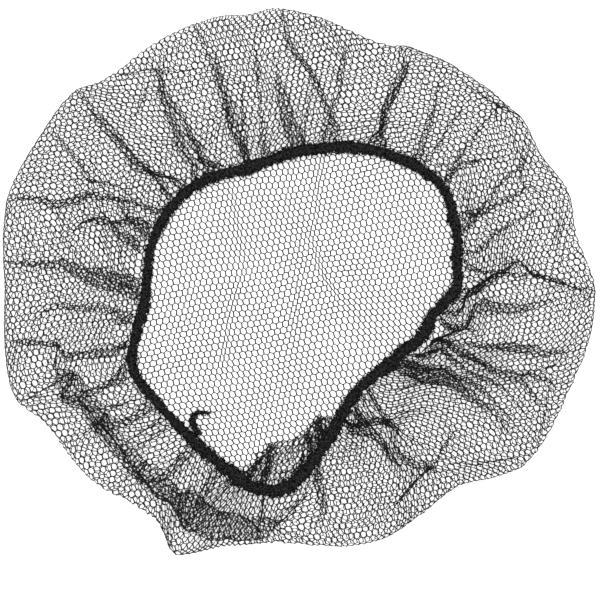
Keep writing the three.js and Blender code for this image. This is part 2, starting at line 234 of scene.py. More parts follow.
# Folds that run across the ruffle or stop short: half width of the turned part, how many times over the net is
# turned there (2 lays it flat in three layers), and the fold's corners seen from above.
FOLDS = [
    (1, 2.1, [(-67, 92), (-70, 83), (-73, 77), (-76, 72)]),
    (1.1, 2.1, [(-90, 90), (-81, 94), (-67, 96), (-56, 95), (-45, 97), (-39, 99)]),
    (0.9, 1.7, [(-107, 46), (-99, 47), (-90, 46), (-79, 43), (-67, 40)]),
    (1.6, 2.2, [(-47, 60), (-43, 54), (-39, 50)]),
    (1.1, 1.7, [(26, 84), (24, 75), (21, 66)]),
    (0.8, 1.7, [(47, 57), (59, 53), (69, 53)]),
    (1, 2.1, [(94, -40), (100, -41), (108, -39), (117, -35)]),
    (2.2, 2.2, [(73, -58), (69, -66), (64, -73), (61, -80), (54, -86), (47, -94), (40, -102)]),
    (4, 1.9, [(22, -66), (30, -62), (38, -61), (46, -66)]),
    (10, 0.6, [(-74, -90), (-56, -103), (-40, -110), (-25, -112), (-10, -109), (2, -104)]),
    (3.6, 2.1, [(-56, -106), (-40, -112), (-24, -112), (-8, -105)]),
    (3.6, 2.1, [(-58, -92), (-46, -99), (-34, -104), (-20, -105), (-8, -103)]),
    (3, 2.1, [(-114, -35), (-104, -43), (-96, -51)]),
    (3.4, 1.9, [(70, -9), (79, -3), (87, 3), (95, 7)]),
    (2.6, 1.4, [(54, -26), (62, -25), (70, -21), (80, -20)]),
    (1.1, 2.1, [(70, -87), (80, -81), (90, -79), (100, -78)]),
    (1.1, 2.1, [(66, 98), (77, 88), (88, 81), (99, 75)]),
    (2.6, 2.2, [(-105, -33), (-106, -40), (-103, -45), (-97, -50), (-87, -51), (-76, -50), (-69, -50)]),
    (0.8, 1.7, [(-109, -21), (-109, -27), (-107, -35)]),
    (3.6, 2.1, [(-105, -45), (-97, -56), (-88, -68), (-78, -78), (-67, -88), (-55, -97), (-42, -105),
        (-29, -112)]),
    (1.3, 2.1, [(-100, -87), (-90, -93), (-78, -96), (-68, -104), (-63, -112), (-59, -120)]),
    (2, 2.2, [(6, -93), (-3, -100), (-10, -110), (-16, -117)]),
    (2.3, 2.2, [(-43, -101), (-33, -104), (-22, -109)]),
    (2.6, 2, [(-112, -44), (-102, -54), (-94, -66), (-84, -77), (-73, -88), (-60, -97), (-48, -106)]),
    (2.6, 2, [(-94, -44), (-88, -54), (-80, -62), (-70, -72), (-60, -82), (-48, -91), (-36, -97)]),
    (3, 2.1, [(52, 104), (44, 91), (38, 77), (36, 62)]),
    (1.5, 2, [(-127, -54), (-117, -50), (-109, -46)]),
    (2.4, 1.9, [(132, -4), (124, -2), (110, 3), (99, 7)]),
    (13, 0.42, [(-106, -38), (-97, -54), (-87, -67), (-75, -79), (-61, -91), (-46, -100), (-32, -106)]),
]

# Bearings between which the ruffle has no small pleats of its own.
PLAIN_STRETCHES = [(281, 299), (311, 332)]

# How closely pleats follow each other along the elastic, against their mean, by bearing.
CROWDING = [
    (0, 1.1), (60, 1.05), (120, 1.05), (180, 1.05), (205, 1), (222, 0.85), (240, 0.85), (254, 0.6),
    (270, 0.5), (282, 0.5),
    (290, 0.8), (300, 1.1), (308, 0.65), (313, 0.45), (324, 0.5), (331, 1.5), (342, 1.9), (352, 1.4),
]

# How much more net than the way needs lies between the fold and the elastic, by bearing.
SLACK = [
    (0, 1.1), (60, 1.08), (120, 1.08), (180, 1.1), (205, 1.13), (218, 1.22), (240, 1.28), (250, 1.26),
    (260, 1.12), (280, 1.06), (295, 1.06),
    (310, 1.1), (330, 1.16), (345, 1.12),
]

# How wide the elastic lies, by bearing, in millimetres.
GIRTH = [
    (0, 5.4), (24, 4.6), (48, 4.4), (72, 5.2), (96, 5.2), (132, 5.1), (156, 4.3), (180, 4.9), (204, 4.1),
    (216, 3.9),
    (234, 5.1), (258, 5.6), (276, 5.8), (300, 5.5), (312, 5.1), (330, 5.6),
]

# Where the gathered edge passes in under the elastic: bearing, how far in it goes before it turns back.
TUCK_DEPTH = [
    (0, 0), (236, 0), (244, 1), (249, 8), (254, 19), (258, 25), (266, 25), (274, 21), (282, 14), (288, 7),
    (294, 1),
    (302, 0), (359, 0),
]

# The loose end of the elastic, from the loop to its frayed tip: x, y, z.
TAIL_ROUTE = [
    (-46.3, -65.9, 7.5), (-48.1, -62.4, 7.2), (-47.8, -59.6, 6.9), (-45.4, -57.7, 6.8), (-41.4, -57.8, 6.7),
]


def read_table(rows, place, closed=False):
    """Values of a two-column table at some places, through a smooth curve. A closed one repeats every 360."""
    table = np.array(rows, float)
    if closed:
        turn = np.array([360.0, 0.0])
        table = np.concatenate([table[-2:] - turn, table, table[:3] + turn])
        place = np.mod(place, 360.0)
    places, values = table[:, 0], table[:, 1]
    last = len(places) - 1
    span = np.clip(np.searchsorted(places, place, side="right") - 1, 0, last - 1)
    before, after = np.maximum(span - 1, 0), np.minimum(span + 2, last)
    width = places[span + 1] - places[span]
    start_slope = (values[span + 1] - values[before]) / (places[span + 1] - places[before]) * width
    end_slope = (values[after] - values[span]) / (places[after] - places[span]) * width
    t = (place - places[span]) / width
    rise = values[span + 1] - values[span]
    return (values[span] + t * start_slope + t**2 * (3 * rise - 2 * start_slope - end_slope)
            + t**3 * (start_slope + end_slope - 2 * rise))


def smoothstep(value, low, high):
    """0 below the low value, 1 above the high one, and smooth between."""
    t = np.clip((value - low) / (high - low), 0, 1)
    return t * t * (3 - 2 * t)


def middle_of_outline():
    """The middle of the outline's box, which the whole part is moved to."""
    bearing = 360 * np.arange(STATIONS_ROUND) / STATIONS_ROUND
    reach = read_table(OUTLINE, bearing, True)
    edge = np.stack([reach * np.cos(np.radians(bearing)), reach * np.sin(np.radians(bearing))])
    return (edge.max(1) + edge.min(1)) / 2


def steps_round(place, count):
    """The samples before and after places on a closed run of samples, and how far past the first each is."""
    low = np.floor(place).astype(int)
    return low % count, (low + 1) % count, place - low


def steps_along(place, count):
    """The same for an open run of samples, on which places go from 0 to 1."""
    place = np.clip(place, 0, 1) * (count - 1)
    low = np.minimum(np.floor(place).astype(int), count - 2)
    return low, low + 1, place - low


def mix(tables, low, high, part):
    """Rows of some tables, read between their samples."""
    return [table[low] * (1 - part[:, None]) + table[high] * part[:, None] for table in tables]


def read_grid(values, rows, columns):
    """Values of a grid, read between its rows and columns."""
    low, high, part = rows
    left, right, side = columns
    near = values[low, left] * (1 - side) + values[low, right] * side
    far = values[high, left] * (1 - side) + values[high, right] * side
    return near * (1 - part) + far * part


def half_turn(angle):
    """An angle brought to within half a turn of zero."""
    return np.mod(angle + math.pi, TAU) - math.pi


def unit(rows):
    return rows / np.linalg.norm(rows, axis=1)[:, None]


def ripple(amount, x, width):
    """A wave across a fold: a dip on one side and a rise on the other, both about as high as the amount."""
    return amount * 1.65 * (x / width) * np.exp(-((x / width) ** 2) / 2)


MIDDLE = middle_of_outline()
FOLD_BACK = FOLD_RADIUS + NET_WALL / 2


class Plan:
    """The net's lie, sampled round the loop: where the crown folds back and where the elastic runs."""

    bearings_round = 1440
    tangent_span = 13

    def __init__(self):
        n = self.bearings_round
        self.bearing = 360 * np.arange(n) / n
        angle = np.radians(self.bearing)
        heading = np.stack([np.cos(angle), np.sin(angle)], 1)
        self.fold_reach = read_table(OUTLINE, self.bearing, True) - FOLD_BACK
        self.fold = heading * self.fold_reach[:, None]
        loop = heading * read_table(LOOP, self.bearing, True)[:, None] + np.array(LOOP_CENTRE)
        ahead = np.roll(loop, -self.tangent_span, 0) - np.roll(loop, self.tangent_span, 0)
        outward = unit(np.stack([ahead[:, 1], -ahead[:, 0]], 1))
        self.rim = loop + outward * (BAND_WIDTH / 2 + PIECE_GAP)
        self.band_rise = BAND_WAVE * np.sin(np.radians(BAND_WAVES * self.bearing))
        self.way = np.linalg.norm(self.rim - self.fold, axis=1)

    def steps(self, bearing):
        return steps_round(np.mod(bearing, 360) / 360 * self.bearings_round, self.bearings_round)

    def at(self, values, bearing):
        """Values sampled round the loop, read between the samples."""
        low, high, part = self.steps(bearing)
        if values.ndim > 1:
            part = part[:, None]
        return values[low] * (1 - part) + values[high] * part

    def find(self, point):
        """The bearing of the way from fold to elastic that a point lies on, and how far along it is."""
        way = self.rim - self.fold
        part = np.clip(((point - self.fold) * way).sum(1) / (way**2).sum(1), 0, 1)
        nearest = np.linalg.norm(self.fold + way * part[:, None] - point, axis=1).argmin()
        return self.bearing[nearest], part[nearest]


def crease_lift(points):
    """How much the folds lift the ruffle at points seen from above."""
    lift = np.zeros(len(points))
    for from_x, from_y, to_x, to_y, height, width in CREASES:
        start = np.array([from_x, from_y], float)
        along = np.array([to_x, to_y], float) - start
        length = np.linalg.norm(along)
        along /= length
        offset = points - start
        travelled = offset @ along
        aside = offset[:, 0] * along[1] - offset[:, 1] * along[0]
        overrun = np.maximum(np.maximum(-travelled, travelled - length), 0)
        lift += height * np.exp(-(aside**2 + overrun**2) / width**2)
    return lift


def crease_share(across):
    """How much of that lift the ruffle has, from the outer fold to the elastic."""
    return smoothstep(across, 0, 0.18) * (1 - 0.75 * smoothstep(across, 0.8, 1))


def soft_noise(points, size, seed, waves=24):
    """A smooth random field of about -1 to 1 over a plane, whose features are about that size."""
    random = np.random.default_rng(seed)
    angle = random.uniform(0, TAU, waves)
    rate = TAU / size * random.uniform(0.5, 1.4, waves)
    phase = random.uniform(0, TAU, waves)
    turn = (points[:, :1] * np.cos(angle) + points[:, 1:2] * np.sin(angle)) * rate + phase
    return np.sin(turn).sum(1) * math.sqrt(2 / waves) * 0.6


def sway(points, rows):
    """How far points stray sideways, both ways."""
    return np.stack([
        sum(far * soft_noise(points, size, seed + axis) for far, size, seed in rows) for axis in (0, 1)], 1)


def fold_pull(points, share):
    """How far the folds draw points of the ruffle sideways, and how much they lift them."""
    moved = np.zeros((len(points), 2))
    lift = np.zeros(len(points))
    for number, (width, turn, corners) in enumerate(FOLDS):
        corners = np.array(corners, float)
        steps = np.diff(corners, axis=0)
        lengths = np.linalg.norm(steps, axis=1)
        run = np.concatenate([[0], np.cumsum(lengths)])
        reach = FOLD_FADE[0] * width * turn + FOLD_FADE[1]
        middle = (corners.max(0) + corners.min(0)) / 2
        near = (np.abs(points - middle) < np.ptp(corners, axis=0) / 2 + 2.5 * reach).all(1)
        spots = points[near]
        best = np.full(len(spots), np.inf)
        aside, along, normal = np.zeros(len(spots)), np.zeros(len(spots)), np.zeros((len(spots), 2))
        for start, step, length, before in zip(corners[:-1], steps, lengths, run):
            heading = step / length
            offset = spots - start
            travelled = np.clip(offset @ heading, 0, length)
            distance = np.linalg.norm(offset - travelled[:, None] * heading, axis=1)
            closer = distance < best
            best[closer] = distance[closer]
            side = heading[0] * offset[:, 1] - heading[1] * offset[:, 0]
            aside[closer] = (np.sign(side) * distance)[closer]
            along[closer] = (before + travelled)[closer]
            normal[closer] = (-heading[1], heading[0])
        ends = 0.25 * run[-1] + 1
        fade = smoothstep(along, 0, ends) * smoothstep(run[-1] - along, 0, ends * 0.7)
        wide = width * (0.8 + 0.5 * share[near]) * (1 + 0.2 * np.sin(along / 7.0 + number))
        strength = turn * wide * fade
        x = aside / wide
        moved[near] -= (strength * np.tanh(x) * np.exp(-((aside / reach) ** 2)))[:, None] * normal
        tilt = 1 if number % 2 else -1
        height = FOLD_LIFT * np.minimum(strength / 3, 1)
        lift[near] += ripple(tilt * height, x, FOLD_RIPPLE)
    return moved, lift


class Gathers:
    """How the net's bearing shifts as the elastic gathers it: pleats that lie flat in three layers."""

    rows = 61
    columns = 7200
    coarse_columns = 240
    balancing_rounds = 14
    balancing_spread = math.radians(6)
    balancing_limits = 0.3, 3
    widest_pleat = math.radians(13)
    pleat_reach = 8
    pouch_squeeze = 0.15

    def __init__(self, plan, meridians, settings):
        pleats = self.pleats(plan, settings, np.random.default_rng(settings.seed))
        weight, start, full, height, tilt = (
            np.array([p[k] for p in pleats]) for k in ("weight", "from", "full", "height", "side"))
        step = TAU / self.columns
        angle = (np.arange(self.columns) + 0.5) * step
        degrees = np.degrees(angle)
        crowding = read_table(CROWDING, degrees, True)
        fold, way, flat_way, flat_fold = (
            plan.at(values, degrees)
            for values in (plan.fold, plan.rim - plan.fold, meridians.length, plan.fold_reach))
        coarse = (np.arange(self.coarse_columns) + 0.5) * TAU / self.coarse_columns
        pouch = smoothstep(plan.at(meridians.tuck, degrees), 0.03, 0.2)
        spread = self.balancing_spread
        self.shift = np.zeros((self.rows, self.columns))
        self.lift = np.zeros((self.rows, self.columns))
        for row, part in enumerate(np.linspace(0, 1, self.rows)):
            across = meridians.read(plan, meridians.across, degrees, np.full(self.columns, part))
            reach = np.linalg.norm(fold + way * across[:, None], axis=1)
            closer = settings.squeeze_at_elastic - 1 + self.pouch_squeeze * pouch
            squeeze = 1 + closer * smoothstep(part, 0.3, 1)
            need = np.maximum((flat_fold + flat_way * part) / reach / squeeze - 1, 0)
            at = np.mod([np.interp(part, p["shares"], p["bearings"]) for p in pleats], TAU)
            strength = weight * smoothstep(part, start, full)
            wanted = need * crowding
            wanted *= need.sum() / max(wanted.sum(), 1e-9)
            # The pleats on any stretch take up together what is wanted there.
            apart = half_turn(coarse[:, None] - at)
            window = np.exp(-((apart / spread) ** 2) / 2) / spread / math.sqrt(TAU)
            for _round in range(self.balancing_rounds):
                ratio = np.interp(coarse, angle, wanted) / np.maximum(2 * window @ strength, 0.02)
                strength *= np.clip((window * ratio[:, None]).sum(0) / window.sum(0), *self.balancing_limits)
            strength = np.minimum(strength, self.widest_pleat)
            strength *= need.sum() * step / max(2 * strength.sum(), 1e-9) if need.sum() > 1e-6 else 0
            order = np.argsort(at)
            at, strength, high, side = at[order], strength[order], height[order], tilt[order]
            passed = np.cumsum(2 * strength)
            gained = np.cumsum(need) * step - need * step / 2
            taken = np.interp(
                angle, np.concatenate([[0], at, [TAU]]), np.concatenate([[0], passed - strength, [passed[-1]]]))
            drift = (gained - taken).mean()
            lead = angle + gained
            turns = np.concatenate([lead - TAU - passed[-1], lead, lead + TAU + passed[-1]])
            angles = np.concatenate([angle - TAU, angle, angle + TAU])
            used = np.interp(at + passed - strength + drift, turns, angles)
            slope = 1 + need
            rise = np.zeros(self.columns)
            for i in np.flatnonzero(strength > 1e-5):
                width = strength[i] / ((1 + need.mean()) * settings.pleat_sharpness)
                away = half_turn(angle - used[i])
                near = np.abs(away) < self.pleat_reach * width
                x = away[near] / width
                slope[near] -= strength[i] / width / np.cosh(x) ** 2
                lifted = high[i] * smoothstep(strength[i] * reach.mean(), 0.3, 3.0)
                rise[near] -= ripple(side[i] * lifted, x, PLEAT_RIPPLE)
            slope += (TAU - slope.sum() * step) / TAU
            turned = np.cumsum(slope) * step - slope * step / 2
            turned -= (turned - angle).mean()
            # The whole row is turned until its pleats lie where they are wanted.
            missed = half_turn(used + np.interp(used, angle, turned - angle, period=TAU) - at) * strength
            turned -= missed.sum() / max(strength.sum(), 1e-9) * smoothstep(part, 0, 0.15)
            self.shift[row] = turned - angle
            self.lift[row] = rise

    @staticmethod
    def pleats(plan, settings, random):
        """The traced pleats and the small ones between them: bearings at shares of the way, weight and side."""
        made = []
        for number, (weight, corners) in enumerate(PLEATS):
            found = [plan.find(np.array(corner, float)) for corner in corners]
            bearings = np.unwrap(np.radians([f[0] for f in found]))
            shares = np.maximum.accumulate([f[1] for f in found]) + np.arange(len(found)) * 1e-6
            made.append({"shares": shares, "bearings": bearings, "weight": weight, "from": shares[0] - 0.05,
                         "full": min(shares[0] + 0.6, 1.0), "height": 1.0, "side": 1 if number % 2 else -1})
        count = settings.small_pleats
        for i in range(count):
            bearing = 360 * (i + random.uniform(-0.35, 0.35)) / count
            lean = random.uniform(-6, 6)
            if any(low < bearing < high for low, high in PLAIN_STRETCHES):
                continue
            made.append({"shares": [0, 1], "bearings": np.radians([bearing + lean, bearing]),
                         "weight": random.uniform(0.2, 0.8), "from": random.uniform(0.0, 0.5),
                         "full": 1.0, "height": 0.8, "side": random.choice([-1, 1])})
        return made

    def read(self, values, angle, share):
        column = np.mod(angle, TAU) / TAU * self.columns - 0.5
        return read_grid(values, steps_along(share, self.rows), steps_round(column, self.columns))


class Meridians:
    """The net's section on each bearing, from the fold back to the elastic, by the length of the thread."""

    columns = 241

    def __init__(self, plan):
        fine = np.linspace(0, 1, 400)
        n = plan.bearings_round
        self.tuck = np.maximum(read_table(TUCK_DEPTH, plan.bearing), 0) / plan.way
        slack = read_table(SLACK, plan.bearing, True)
        self.length = np.zeros(n)
        self.across = np.zeros((n, self.columns))
        self.height = np.zeros((n, self.columns))
        arc = np.linspace(-0.5, 0.3, 12) * math.pi
        round_fold = np.stack([FOLD_RADIUS * np.cos(arc), CROWN_HEIGHT + FOLD_RADIUS * (1 + np.sin(arc))], 1)
        even = np.linspace(0, 1, self.columns)
        for i in range(n):
            depth = self.tuck[i]
            turn_at = 1.02 + depth
            x = fine * (turn_at + depth)
            across = turn_at - np.sqrt((x - turn_at) ** 2 + 0.0004)
            across += (0.0 - across[0]) * (1 - fine) ** 4
            height = read_table(RUFFLE_PROFILE, np.clip(across, 0, 1))
            height += smoothstep(across, 0.7, 1) * plan.band_rise[i]
            if depth > 0.01:
                under = smoothstep(depth, 0.0, 0.1)
                outer = smoothstep(x, 0.72, 0.95)
                # The tucked net dips under the elastic, lies lower inside it, and turns back up to it.
                low = TUCK_HEIGHT - TUCK_DIP * smoothstep(x, 1.0, turn_at)
                low += TUCK_RISE * smoothstep(x, turn_at, turn_at + depth) ** 2
                height = height * (1 - outer * under) + low * outer * under
            keep = across * plan.way[i] > 1.0
            way_out = np.concatenate([-round_fold[:, 0], across[keep] * plan.way[i]])
            up = np.concatenate([round_fold[:, 1], height[keep]])
            run = np.concatenate([[0], np.cumsum(np.hypot(np.diff(way_out), np.diff(up)))])
            self.length[i] = run[-1] * slack[i]
            # The net lies at its natural size by the fold and closest beside the elastic.
            along = (slack[i] * even - (slack[i] - 1) * even**2) * run[-1]
            self.across[i] = np.interp(along, run, way_out) / plan.way[i]
            self.height[i] = np.interp(along, run, up)

    def read(self, plan, values, bearing, share):
        return read_grid(values, plan.steps(bearing), steps_along(share, self.columns))


# Faint creases of the crown inside the loop, where its cells are squeezed: corners x, y, how much each takes
# up, and its width.
CROWN_CREASES = [
    ([(-31, 42), (-28, 6), (-33, -21), (-35, -37)], 1.0, 2.2),
    ([(11.5, 58), (7, 20), (13, 2), (20, -8)], 1.1, 2.4),
    ([(-2, 70), (-6, 40), (2, 10), (-4, -20)], 0.5, 3.0),
]


def crown_warp(points):
    """The crown lies nearly as it was knitted, with soft waves and a few creases."""
    moved = points.copy()
    inside = 1 - smoothstep(np.hypot(points[:, 0], points[:, 1]), 105, 128)
    moved += sway(points, CROWN_SWAY) * inside[:, None]
    for corners, take_up, width in CROWN_CREASES:
        corners = np.array(corners, float)
        order = corners[::-1]
        x = np.interp(points[:, 1], order[:, 1], order[:, 0])
        ends = smoothstep(points[:, 1], order[0, 1] - 12, order[0, 1] + 8)
        ends *= 1 - smoothstep(points[:, 1], order[-1, 1] - 8, order[-1, 1] + 12)
        moved[:, 0] -= take_up * np.tanh((points[:, 0] - x) / width) * ends * inside
    return moved


class NetLie:
    """Takes points of the flat, uncut net to where they lie."""

    def __init__(self, settings):
        self.plan = Plan()
        self.meridians = Meridians(self.plan)
        self.gathers = Gathers(self.plan, self.meridians, settings)

    def share(self, points):
        """How far a point is on its way from the fold (0) to the elastic (1). In the crown it is negative."""
        bearing = np.degrees(np.arctan2(points[:, 1], points[:, 0]))
        reach = np.hypot(points[:, 0], points[:, 1])
        fold = self.plan.at(self.plan.fold_reach, bearing)
        return (reach - fold) / self.plan.at(self.meridians.length, bearing)

    def place(self, points):
        """Where points of the flat net lie: on the crown, or over the fold and back to the elastic."""
        plan, meridians, gathers = self.plan, self.meridians, self.gathers
        share = self.share(points)
        crown = share <= 0
        bearing = np.degrees(np.arctan2(points[:, 1], points[:, 0]))
        placed = np.zeros((len(points), 3))
        flat = crown_warp(points[crown])
        placed[crown, :2] = flat
        placed[crown, 2] = CROWN_HEIGHT + CROWN_UNEVENNESS * (1 + soft_noise(flat, 26, 7))
        back = ~crown
        uncut = points[back]
        angle, part = np.radians(bearing[back]), np.minimum(share[back], 1)
        lie = np.degrees(angle + gathers.read(gathers.shift, angle, part))
        lift = gathers.read(gathers.lift, angle, part)
        across = meridians.read(plan, meridians.across, lie, part)
        height = meridians.read(plan, meridians.height, lie, part)
        spot = plan.at(plan.fold, lie)
        spot += (plan.at(plan.rim, lie) - spot) * across[:, None]
        fade = smoothstep(part, 0.02, 0.2) * (1 - smoothstep(part, 0.8, 1))
        spot += sway(uncut, RUFFLE_SWAY) * fade[:, None]
        # The pouch tucked in under the elastic is ragged.
        pouch = smoothstep(plan.at(meridians.tuck, lie), 0.05, 0.2) * smoothstep(part, 0.6, 0.75)
        pouch *= 1 - smoothstep(part, 0.93, 1)
        spot += sway(uncut, POUCH_SWAY) * pouch[:, None]
        pulled, raised = fold_pull(spot, part)
        hold = smoothstep(part, 0.0, 0.07) * (1 - smoothstep(part, 0.9, 1))
        spot += pulled * hold[:, None]
        lift += raised * hold
        waves = np.where(part < 0.85, crease_lift(spot) * crease_share(part), 0)
        height += waves + lift * smoothstep(part, 0.05, 0.2)
        height += fade * RUFFLE_UNEVENNESS * soft_noise(uncut, 22, 31)
        placed[back, :2] = spot
        placed[back, 2] = height
        return placed


# ---------------------------------------------------------------- sizes and colours


def length_property(name, description, millimetres):
    return bpy.props.FloatProperty(name=name, description=description, default=millimetres * MM, unit="LENGTH")


def angle_property(name, description, degrees):
    return bpy.props.FloatProperty(
        name=name, description=description, default=math.radians(degrees), unit="ROTATION")


def amount_property(name, description, default, **more):
    return bpy.props.FloatProperty(name=name, description=description, default=default, **more)


def count_property(name, description, default, **more):
    return bpy.props.IntProperty(name=name, description=description, default=default, **more)


def colour_property(name, description, default):
    return bpy.props.FloatVectorProperty(
        name=name, description=description, subtype="COLOR", size=3, default=default)


class NetSettings(bpy.types.PropertyGroup):
    row_step: length_property("Row Step", "Spacing of the cells along a knitted row", 2.69)
    row_bearing: angle_property("Row Bearing", "Direction of the knitted rows from +X", 9.5)
    column_step: length_property("Column Step", "Spacing of the knitted rows, cell to cell", 2.89)
    column_bearing: angle_property("Column Bearing", "Direction from a cell to the one in the next row", 78.7)
    thread_radius: length_property(
        "Thread Radius", "Half the thickness of the thread halfway along a side of a cell", 0.168)
    junction_radius: length_property(
        "Junction Radius", "Half the thickness where the threads are knitted together", 0.315)
    link_radius: length_property(
        "Link Radius", "Half the thickness of the doubled side between two cells of a row", 0.265)
    thread_sides: count_property("Thread Sides", "Corners of a thread's section", 4, min=3, max=8)
    half_count: count_property(
        "Cells Each Way", "Cells that are knitted from the middle before the net is cut", 84, min=4)
    disorder: length_property("Disorder", "How far a knot may lie from its regular place", 0.16)
    squeeze_at_elastic: amount_property(
        "Squeeze at Elastic", "How many times closer the cells lie beside the elastic", 1.1, min=1.0, max=3.0)
    pleat_sharpness: amount_property(
        "Pleat Sharpness", "How far each pleat is folded over itself", 2.1, min=1.2, max=6.0)
    small_pleats: count_property("Small Pleats", "Small pleats spread round the ruffle", 36, min=0)
    seed: count_property("Seed", "Random seed of the knots and the pleats", 11)
    colour: colour_property("Thread Colour", "Colour of the nylon thread", (0.016, 0.016, 0.018))


class ElasticSettings(bpy.types.PropertyGroup):
    wrap_spacing: length_property("Wrap Spacing", "Spacing of the stitches round the elastic", 1.15)
    wrap_radius: length_property("Wrap Thread Radius", "Half the thickness of the stitching thread", 0.26)
    stray_loops: count_property(
        "Stray Loops", "Small loops of thread that stand out from the elastic", 900, min=0)
    fuzz_hairs: count_property("Fuzz Hairs", "Short loose fibres on the elastic", 1500, min=0)
    seed: count_property("Seed", "Random seed of the loops and fibres", 5)
    colour: colour_property("Elastic Colour", "Colour of the covered elastic", (0.004, 0.0039, 0.0041))


class StageSettings(bpy.types.PropertyGroup):
    camera_height: amount_property(
        "Camera Height", "Height of the camera over the surface", 2.2, unit="LENGTH")
    lens: amount_property("Lens", "Focal length of the camera", 293.3, unit="CAMERA")
    light_power: amount_property("Light Power", "Power of the overhead softbox", 44.0, unit="POWER")
    surround: amount_property("Surround", "Brightness of the white surround", 0.35)
    floor_glow: amount_property(
        "Surface Glow", "How brightly the white surface is lit from below", 0.6, min=0.0)
    floor_colour: colour_property("Floor Colour", "Colour of the white surface", (0.93, 0.93, 0.93))


# ---------------------------------------------------------------- nodes, objects and the frame


def add_node(tree, kind, inputs=None, **settings):
    """A new node with its settings, then the values of its inputs, which are named or numbered."""
    node = tree.nodes.new(kind)
    for name, value in settings.items():
        setattr(node, name, value)
    for name, value in (inputs or {}).items():
        node.inputs[name].default_value = value
    return node


def wire(tree, *pairs):
    for start, end in pairs:
        tree.links.new(start, end)


def start_material(name, inputs):
    """A new material with its tree and its shader, whose plain inputs are given."""
    material = bpy.data.materials.new(name)
    material.use_nodes = True
    tree = material.node_tree
    tree.nodes.clear()
    output = add_node(tree, "ShaderNodeOutputMaterial")
    shader = add_node(tree, "ShaderNodeBsdfPrincipled", inputs)
    wire(tree, (shader.outputs["BSDF"], output.inputs["Surface"]))
    return material, tree, shader


def speckle(tree, shader, noise, colours):
    """Colours a shader by a noise, between colours at two of its values. Returns the noise's node."""
    where = add_node(tree, "ShaderNodeTexCoord")
    grain = add_node(tree, "ShaderNodeTexNoise", noise)
    ramp = add_node(tree, "ShaderNodeValToRGB")
    for number, (value, colour) in enumerate(colours):
        ramp.color_ramp.elements[number].position = value
        ramp.color_ramp.elements[number].color = (*colour, 1)
    wire(tree, (where.outputs["Object"], grain.inputs["Vector"]), (grain.outputs["Fac"], ramp.inputs["Fac"]),
         (ramp.outputs["Color"], shader.inputs["Base Color"]))
    return grain


def thread_material(name, colour, roughness, gloss, twist_pitch, dye_and_highlight_fleck, fineness, values):
    """Twisted filaments: slanted ridges along the thread, and flecked colour.

    The colour goes from dark to that many times the colour, between two values of a noise of that fineness. A
    small factor is the thread's own uneven dyeing; the large one on the elastic paints highlights onto it."""
    material, tree, shader = start_material(name, {"Specular IOR Level": gloss})
    # The pale end of the ramp: uneven dyeing on the net's thread, painted highlights on the elastic.
    shades = [[c * shade for c in colour] for shade in (DARKEST_DYE, dye_and_highlight_fleck)]
    dye_and_highlight_noise = speckle(tree, shader, {"Scale": fineness, "Detail": 4}, zip(values, shades))
    rough = add_node(tree, "ShaderNodeMapRange", {
        "To Min": roughness - ROUGHNESS_SPREAD, "To Max": roughness + ROUGHNESS_SPREAD})
    along, around = (
        add_node(tree, "ShaderNodeAttribute", attribute_name="thread_" + way) for way in ("along", "around"))
    angle = add_node(tree, "ShaderNodeMath", {1: TAU * FILAMENTS}, operation="MULTIPLY")
    turns = add_node(tree, "ShaderNodeMath", {1: TAU / twist_pitch}, operation="MULTIPLY_ADD")
    ridge = add_node(tree, "ShaderNodeMath", operation="SINE")
    bump = add_node(tree, "ShaderNodeBump", {"Strength": 0.5, "Distance": RIDGE_HEIGHT * MM})
    wire(tree, (dye_and_highlight_noise.outputs["Fac"], rough.inputs["Value"]),
         (rough.outputs["Result"], shader.inputs["Roughness"]),
         (around.outputs["Fac"], angle.inputs[0]), (along.outputs["Fac"], turns.inputs[0]),
         (angle.outputs[0], turns.inputs[2]), (turns.outputs[0], ridge.inputs[0]),
         (ridge.outputs[0], bump.inputs["Height"]), (bump.outputs["Normal"], shader.inputs["Normal"]))
    return material


def thread_tree(material):
    """Edges to threads: a tube along every run of edges, as thick as each point says.

    Returns the tree and its input for the corners of a thread's section."""
    tree = bpy.data.node_groups.new("Knitted Thread", "GeometryNodeTree")
    for way in ("INPUT", "OUTPUT"):
        tree.interface.new_socket(name="Geometry", in_out=way, socket_type="NodeSocketGeometry")
    sides = tree.interface.new_socket(name="Sides", in_out="INPUT", socket_type="NodeSocketInt").identifier
    source = add_node(tree, "NodeGroupInput")
    curve = add_node(tree, "GeometryNodeMeshToCurve")
    ring = add_node(tree, "GeometryNodeCurvePrimitiveCircle", {"Radius": 1.0})
    tube = add_node(tree, "GeometryNodeCurveToMesh")
    radius = add_node(tree, "GeometryNodeInputNamedAttribute", {"Name": "thread_radius"}, data_type="FLOAT")
    wire(tree, (source.outputs["Geometry"], curve.inputs["Mesh"]),
         (source.outputs["Sides"], ring.inputs["Resolution"]),
         (radius.outputs["Attribute"], tube.inputs["Scale"]))
    # Each thread keeps how far along and how far round it a place is, for its material.
    for line, name, measure, end in (
            (curve, "thread_along", "Length", "Curve"), (ring, "thread_around", "Factor", "Profile Curve")):
        place = add_node(tree, "GeometryNodeSplineParameter")
        store = add_node(
            tree, "GeometryNodeStoreNamedAttribute", {"Name": name}, data_type="FLOAT", domain="POINT")
        wire(tree, (line.outputs[0], store.inputs["Geometry"]), (place.outputs[measure], store.inputs["Value"]),
             (store.outputs[0], tube.inputs[end]))
    # The tubes are made real geometry, shaded smooth and given the material. The export
    # needs real geometry, with its material.
    last = tube
    for kind in ("GeometryNodeRealizeInstances", "GeometryNodeSetShadeSmooth", "GeometryNodeSetMaterial",
                 "NodeGroupOutput"):
        node = add_node(tree, kind)
        if "Material" in node.inputs:
            node.inputs["Material"].default_value = material
        wire(tree, (last.outputs[0], node.inputs[0]))
        last = node
    return tree, sides


